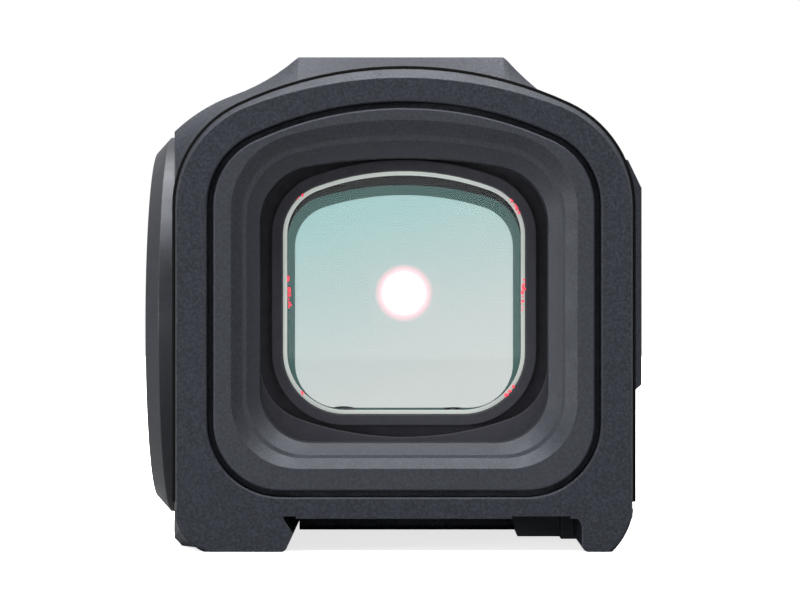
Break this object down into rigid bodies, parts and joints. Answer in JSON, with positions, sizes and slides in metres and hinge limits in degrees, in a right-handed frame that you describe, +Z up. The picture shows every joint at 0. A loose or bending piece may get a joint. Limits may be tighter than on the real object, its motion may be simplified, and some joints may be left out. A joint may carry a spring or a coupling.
{
  "type": "red dot finder",
  "caption": "Closed-body red dot finder with a coated front lens, rear window, side keys, coin cell cap, screw adjusters and a screw-clamped dovetail rail foot.",
  "frame": {"origin": "middle of the seat that rests on the rail, on the optical axis's vertical plane", "axes": "+Y forward along the line of sight, +Z up, +X to the right as seen from the eye"},
  "size_m": [0.0331, 0.047, 0.0315],
  "materials": {
    "anodised_body": "matte black anodise over bead blast",
    "anodised_bezel": "matte black anodise",
    "anodised_cap": "turned and anodised black",
    "anodised_jaw": "matte black anodise",
    "frame_black": "flat black",
    "rear_glass": "coated, ground edge",
    "front_glass": "mirror coated for red",
    "outer_glass": "anti-glare coated",
    "seal_rubber": "moulded",
    "key_rubber": "soft matte",
    "cell_steel": "nickel plated",
    "inner_plastic": "moulded",
    "spring_steel": "bright wire",
    "pin_steel": "ground",
    "contact_gold": "gold flashed",
    "nut_brass": "machined",
    "screw_black": "black oxide",
    "carriage_metal": "black anodise",
    "board_green": "solder mask",
    "board_part": "moulded",
    "insulator": "sheet",
    "flex": "polyimide film",
    "emitter_red": "clear die"
  },
  "bodies": {
    "housing": {"housing": "anodised_body", "rear_bezel": "anodised_bezel", "rear_lens_frame": "frame_black", "rear_lens": "rear_glass", "rear_lens_gasket": "seal_rubber", "front_bezel": "anodised_bezel", "front_seal": "seal_rubber", "front_lens_cell": "anodised_bezel", "front_lens_outer": "outer_glass", "front_lens_inner": "front_glass", "battery_tray": "inner_plastic", "battery_contact_spring": "contact_gold", "feed_pin": "contact_gold", "feed_bush": "inner_plastic", "board_insulator": "insulator", "main_board": "board_green", "board_parts": "board_part", "board_screws": "screw_black", "light_baffle": "frame_black", "elevation_leaf_spring": "spring_steel", "emitter_flex": "flex", "adjuster_retaining_rings": "spring_steel", "click_pins": "pin_steel", "click_springs": "spring_steel", "key_plate": "anodised_jaw", "key_plate_screws": "screw_black", "key_seal": "seal_rubber", "button_board": "board_green", "snap_domes": "spring_steel", "button_flex": "flex", "jaw_guide_pins": "pin_steel", "jaw_springs": "spring_steel", "purge_screw": "anodised_body", "hood_bands": "seal_rubber"},
    "cap_seal": {"cap_o_ring": "seal_rubber"},
    "battery_cap": {"battery_cap": "anodised_cap"},
    "coin_cell": {"coin_cell": "cell_steel"},
    "elevation_screw": {"elevation_screw": "screw_black", "elevation_o_ring": "seal_rubber"},
    "elevation_frame": {"elevation_frame": "carriage_metal", "emitter_guide_pin": "pin_steel", "emitter_spring": "spring_steel"},
    "windage_screw": {"windage_screw": "screw_black", "windage_o_ring": "seal_rubber"},
    "windage_nut": {"windage_nut": "nut_brass"},
    "emitter_carriage": {"emitter_carriage": "carriage_metal", "led_board": "board_green", "led": "emitter_red", "led_shroud": "frame_black", "led_screws": "screw_black"},
    "plus_button": {"plus_button": "key_rubber"},
    "minus_button": {"minus_button": "key_rubber"},
    "clamp_jaw": {"clamp_jaw": "anodised_jaw"},
    "clamp_screw": {"clamp_screw": "screw_black", "clamp_screw_clip": "spring_steel"}
  },
  "joints": [
    {"name": "cap_turn", "type": "hinge", "parent": "cap_seal", "child": "battery_cap", "pos_m": [-0.01625, 0, 0.012], "axis": [-1, 0, 0], "range_deg": [0, 1440]},
    {"name": "cap_travel", "type": "slide", "parent": "housing", "child": "cap_seal", "axis": [-1, 0, 0], "range_m": [0, 0.003]},
    {"name": "coin_cell_travel", "type": "slide", "parent": "housing", "child": "coin_cell", "axis": [-1, 0, 0], "range_m": [0, 0.003]},
    {"name": "elevation_turn", "type": "hinge", "parent": "housing", "child": "elevation_screw", "pos_m": [0, -0.0152, 0.0279], "axis": [0, 0, 1], "range_deg": [-360, 360]},
    {"name": "elevation_travel", "type": "slide", "parent": "housing", "child": "elevation_frame", "axis": [0, 0, 1], "range_m": [-0.0004, 0.0004], "deforming": ["elevation_leaf_spring", "emitter_flex"]},
    {"name": "windage_turn", "type": "hinge", "parent": "housing", "child": "windage_screw", "pos_m": [0.0138, -0.01385, 0.0142], "axis": [1, 0, 0], "range_deg": [-360, 360]},
    {"name": "windage_nut_travel", "type": "slide", "parent": "housing", "child": "windage_nut", "axis": [1, 0, 0], "range_m": [-0.0004, 0.0004]},
    {"name": "windage_travel", "type": "slide", "parent": "elevation_frame", "child": "emitter_carriage", "axis": [1, 0, 0], "range_m": [-0.0004, 0.0004], "deforming": ["emitter_spring", "emitter_flex"]},
    {"name": "plus_press", "type": "slide", "parent": "housing", "child": "plus_button", "axis": [-1, 0, 0], "range_m": [0, 0.0005], "stiffness_N_per_m": 600, "deforming": ["snap_domes"]},
    {"name": "minus_press", "type": "slide", "parent": "housing", "child": "minus_button", "axis": [-1, 0, 0], "range_m": [0, 0.0005], "stiffness_N_per_m": 600, "deforming": ["snap_domes"]},
    {"name": "clamp_turn", "type": "hinge", "parent": "clamp_jaw", "child": "clamp_screw", "pos_m": [0.0138, -0.0029, 0], "axis": [1, 0, 0], "range_deg": [0, 1080]},
    {"name": "jaw_travel", "type": "slide", "parent": "housing", "child": "clamp_jaw", "axis": [1, 0, 0], "range_m": [0, 0.0015], "deforming": ["jaw_springs"]}
  ],
  "couplings": [
    {"joint": "cap_turn", "follows": "cap_travel", "rad_per_m": 8377.6},
    {"joint": "coin_cell_travel", "follows": "cap_travel", "ratio": 1},
    {"joint": "elevation_turn", "follows": "elevation_travel", "rad_per_m": 15708},
    {"joint": "windage_turn", "follows": "windage_travel", "rad_per_m": 15708},
    {"joint": "windage_nut_travel", "follows": "windage_travel", "ratio": 1},
    {"joint": "clamp_turn", "follows": "jaw_travel", "rad_per_m": 12566}
  ]
}
